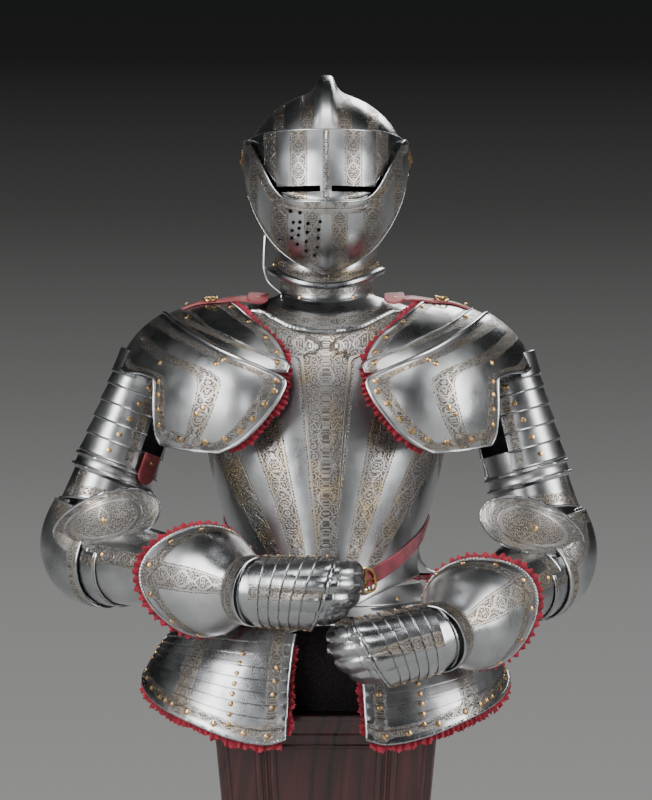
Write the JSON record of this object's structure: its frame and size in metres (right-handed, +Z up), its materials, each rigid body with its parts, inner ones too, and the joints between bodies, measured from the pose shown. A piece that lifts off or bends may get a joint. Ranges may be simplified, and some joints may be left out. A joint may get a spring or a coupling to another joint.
{
  "type": "half armour on a limbless wooden display stand",
  "caption": "Half armour of etched steel plate with close helmet, crimson pinked trim and straps, set up on a limbless tapered wooden stand.",
  "frame": {"origin": "middle of the underside of the stand", "axes": "+Z up, the armour faces -Y, +X is the wearer's left"},
  "size_m": [0.7195, 0.4682, 1.252],
  "materials": {
    "steel": "polished plate with etched and gilt bands",
    "gilt": "worn gilt",
    "crimson_cloth": "matt pinked cloth",
    "strap_leather": "smooth dyed leather",
    "wood": "dark satin varnish"
  },
  "bodies": {
    "armour_and_stand": {"breastplate": "steel", "backplate": "steel", "fauld": "steel", "culet": "steel", "gorget_front": "steel", "gorget_back": "steel", "skull": "steel", "lower_bevor": "steel", "side_hook": "steel", "tasset_right": "steel", "tasset_left": "steel", "pauldron_main_right": "steel", "pauldron_main_left": "steel", "pauldron_second_right": "steel", "pauldron_second_left": "steel", "pauldron_upper_right": "steel", "pauldron_upper_left": "steel", "upper_cannon_right": "steel", "upper_cannon_left": "steel", "lower_cannon_right": "steel", "lower_cannon_left": "steel", "arm_lames_right": "steel", "arm_lames_left": "steel", "turner_ring_right": "steel", "turner_ring_left": "steel", "elbow_lames_right": "steel", "elbow_lames_left": "steel", "couter_right": "steel", "couter_left": "steel", "gauntlet_cuff_right": "steel", "gauntlet_cuff_left": "steel", "metacarpal_right": "steel", "metacarpal_left": "steel", "fingers_right": "steel", "fingers_left": "steel", "belt_buckle": "gilt", "pivot_bolt_right": "gilt", "pivot_bolt_left": "gilt", "shoulder_buckle_right": "gilt", "shoulder_buckle_left": "gilt", "belt": "crimson_cloth", "belt_tail": "crimson_cloth", "trim_culet": "crimson_cloth", "trim_pauldron_right": "crimson_cloth", "trim_pauldron_left": "crimson_cloth", "trim_cuff_right": "crimson_cloth", "trim_cuff_left": "crimson_cloth", "trim_tasset_right": "crimson_cloth", "trim_tasset_left": "crimson_cloth", "shoulder_strap_right": "strap_leather", "shoulder_strap_left": "strap_leather", "stand_base": "wood", "stand_pedestal": "wood", "stand_post": "wood"},
    "ventail": {"ventail": "steel"},
    "visor": {"visor": "steel"}
  },
  "joints": [
    {"name": "ventail_pivot", "type": "hinge", "parent": "armour_and_stand", "child": "ventail", "pos_m": [0, 0, 1.142], "axis": [-1, 0, 0], "range_deg": [0, 14]},
    {"name": "visor_pivot", "type": "hinge", "parent": "ventail", "child": "visor", "pos_m": [0, 0, 1.142], "axis": [-1, 0, 0], "range_deg": [0, 24]}
  ]
}
